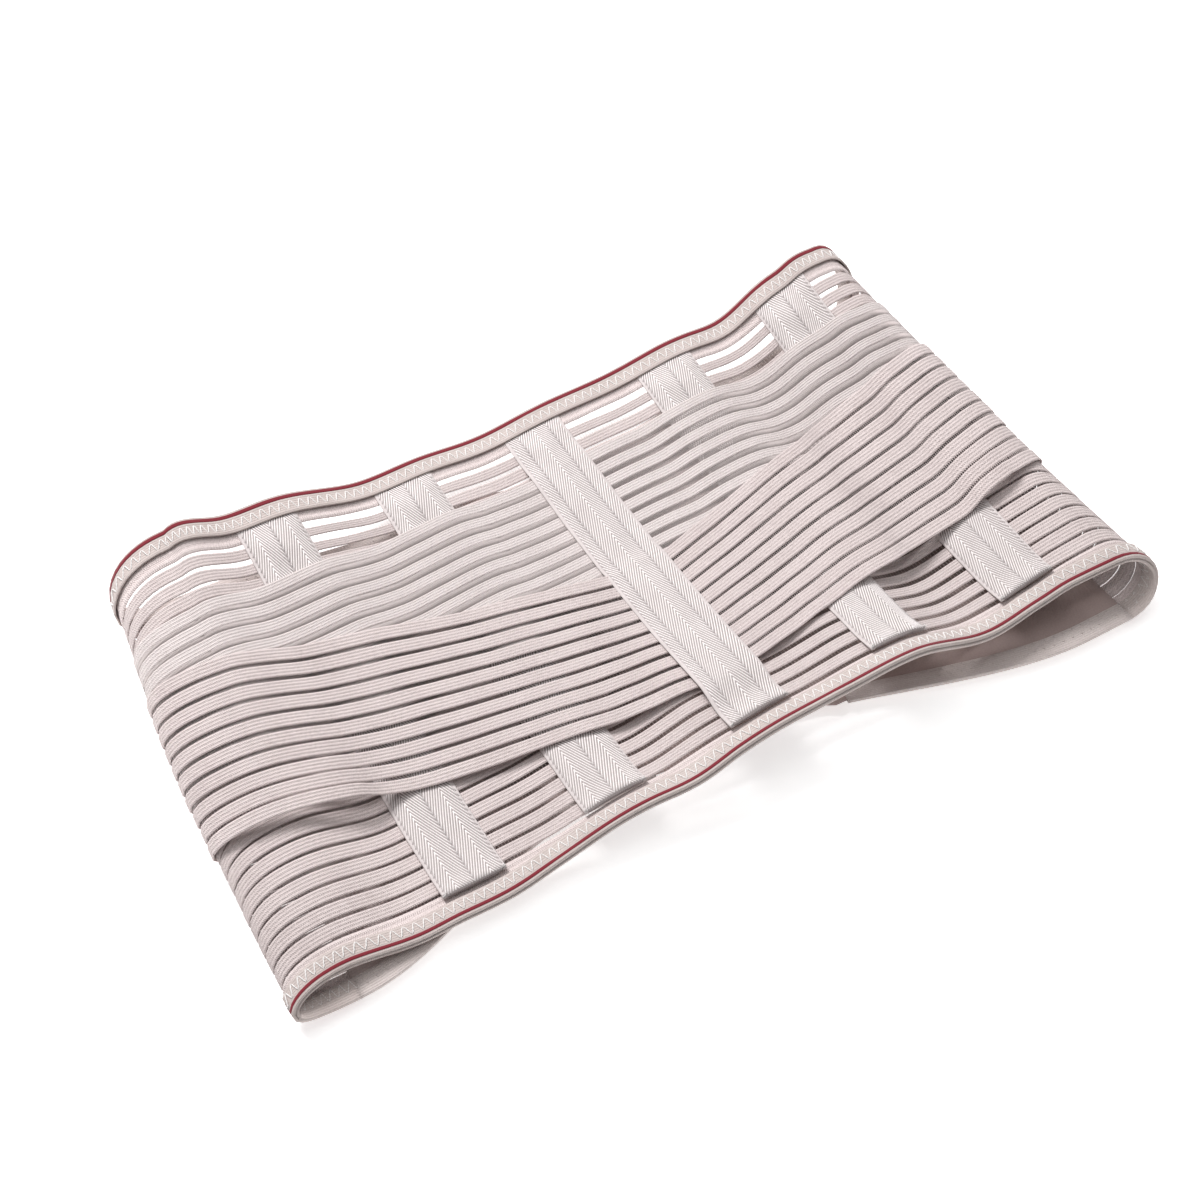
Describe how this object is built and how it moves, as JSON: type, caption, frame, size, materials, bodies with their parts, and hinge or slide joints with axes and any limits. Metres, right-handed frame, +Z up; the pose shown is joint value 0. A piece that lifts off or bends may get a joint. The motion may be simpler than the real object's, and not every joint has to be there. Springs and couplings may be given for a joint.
{
  "type": "lumbosacral brace",
  "caption": "Elastic back-support belt with slotted ventilated cloth, herringbone stay tapes and crossing side straps, closed at the front and lying flat.",
  "frame": {"origin": "bottom centre of the bounding box, on the table under the middle of the flattened belt", "axes": "+X along the belt towards the right-hand fold, +Y along the stays to the belt's upper edge, +Z up"},
  "size_m": [0.4464, 0.2454, 0.0484],
  "materials": {
    "elastic": "ribbed slotted elastic knit, matt",
    "tape": "herringbone woven tape, faint sheen",
    "binding": "woven edge tape with zigzag stitching and a red line",
    "plain_cloth": "smooth plain cloth, matt"
  },
  "bodies": {
    "root": {"back_panel": "elastic", "front_panel_left": "plain_cloth", "front_panel_right": "plain_cloth", "upper_binding": "binding", "lower_binding": "binding", "upper_hem_left": "binding", "upper_hem_right": "binding", "lower_hem_left": "binding", "lower_hem_right": "binding", "outer_stay_left": "tape", "inner_stay_left": "tape", "centre_stay": "tape", "inner_stay_right": "tape", "outer_stay_right": "tape", "upper_strap_left": "elastic", "upper_strap_right": "elastic", "lower_strap_left": "elastic", "lower_strap_right": "elastic"}
  },
  "joints": []
}
